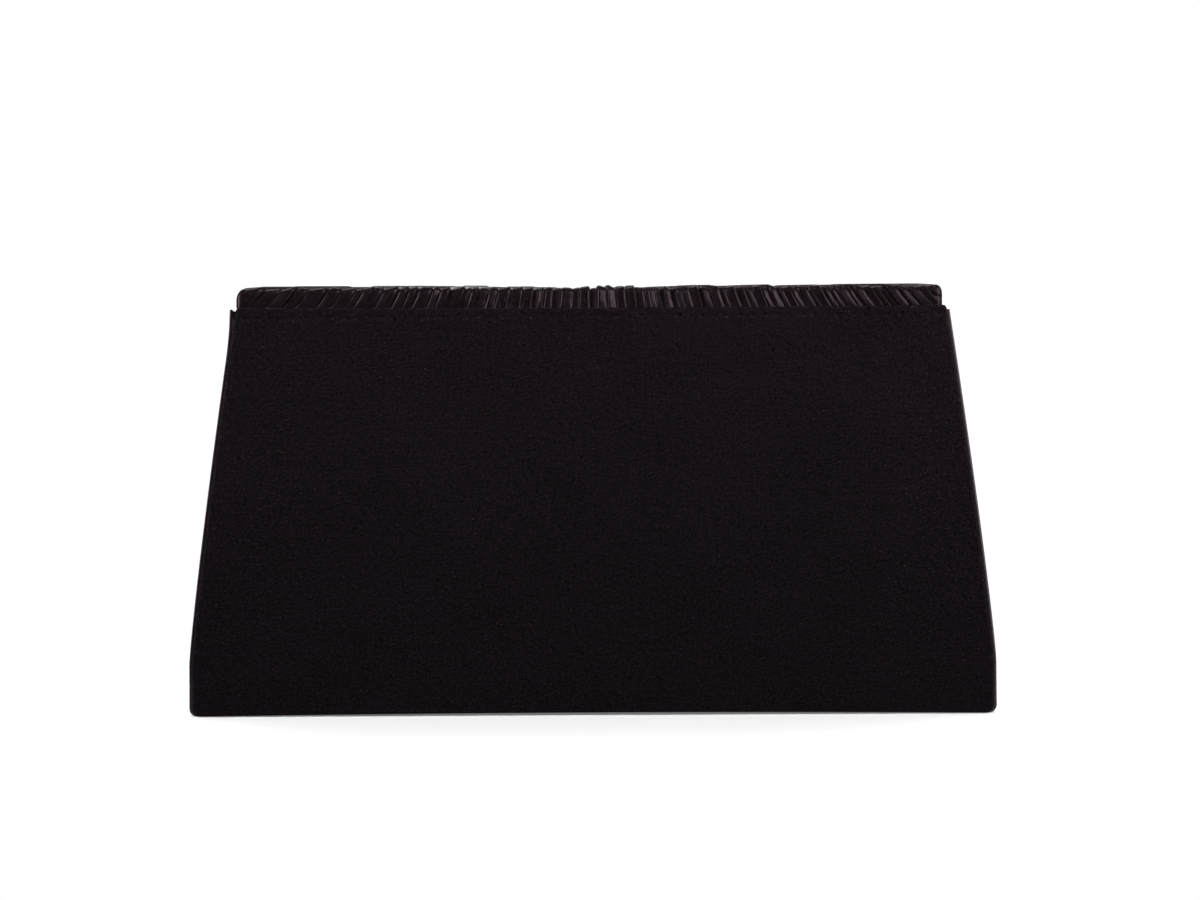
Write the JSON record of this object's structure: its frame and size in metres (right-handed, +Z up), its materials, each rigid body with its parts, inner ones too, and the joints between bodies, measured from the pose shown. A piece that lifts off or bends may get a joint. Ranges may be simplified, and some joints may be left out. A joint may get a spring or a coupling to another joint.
{
  "type": "clutch purse",
  "caption": "Trapezoid satin envelope clutch with a plain hemmed back, folding gussets, a press-in front wall and a fan-pleated flap held by a magnetic snap",
  "frame": {"origin": "on the floor, under the middle of the purse", "axes": "+X across the purse to the right as seen from behind it, +Y from the plain back to the flap, +Z up"},
  "size_m": [0.264, 0.0446, 0.14],
  "materials": {
    "satin": "black satin with a faint plum cast",
    "pleated_satin": "black satin, pleated, with a soft sheen",
    "lining": "plain black lining",
    "board": "grey-brown stiffening board",
    "wadding": "off-white wadding",
    "nickel": "nickel-plated steel",
    "ferrite": "dark grey ferrite"
  },
  "bodies": {
    "body": {"back_panel": "satin", "back_board": "board", "back_lining": "lining", "back_facing": "satin", "flap_anchor": "pleated_satin", "slip_pocket": "lining", "base_panel": "satin", "base_board": "board", "base_lining": "lining", "left_gusset": "satin", "left_gusset_lining": "lining", "right_gusset": "satin", "right_gusset_lining": "lining"},
    "front": {"front_panel": "satin", "front_board": "board", "front_wadding": "wadding", "front_lining": "lining", "front_facing": "satin", "snap_cap": "nickel", "snap_magnet": "ferrite", "snap_plate": "nickel", "snap_washer": "nickel"},
    "roll": {"spine_cover": "pleated_satin", "spine_wadding": "wadding", "spine_lining": "lining"},
    "flap": {"flap_cover": "pleated_satin", "gather_tab": "satin", "flap_lining": "lining", "flap_board": "board", "flap_wadding": "wadding", "snap_stud": "nickel", "stud_washer": "nickel"}
  },
  "joints": [
    {"name": "flap_hinge", "type": "hinge", "parent": "body", "child": "roll", "pos_m": [0, -0.01254, 0.1336], "axis": [1, 0, 0], "range_deg": [0, 135]},
    {"name": "flap_fold", "type": "hinge", "parent": "roll", "child": "flap", "pos_m": [0, 0.018, 0.13321], "axis": [1, 0, 0], "range_deg": [0, 88]},
    {"name": "front_press", "type": "hinge", "parent": "body", "child": "front", "pos_m": [0, 0.01202, 0.00053], "axis": [-1, 0, 0], "range_deg": [-5, 0], "stiffness_Nm_per_rad": 0.2, "springref_deg": 1.72, "deforming": ["left_gusset", "left_gusset_lining", "right_gusset", "right_gusset_lining"]}
  ]
}
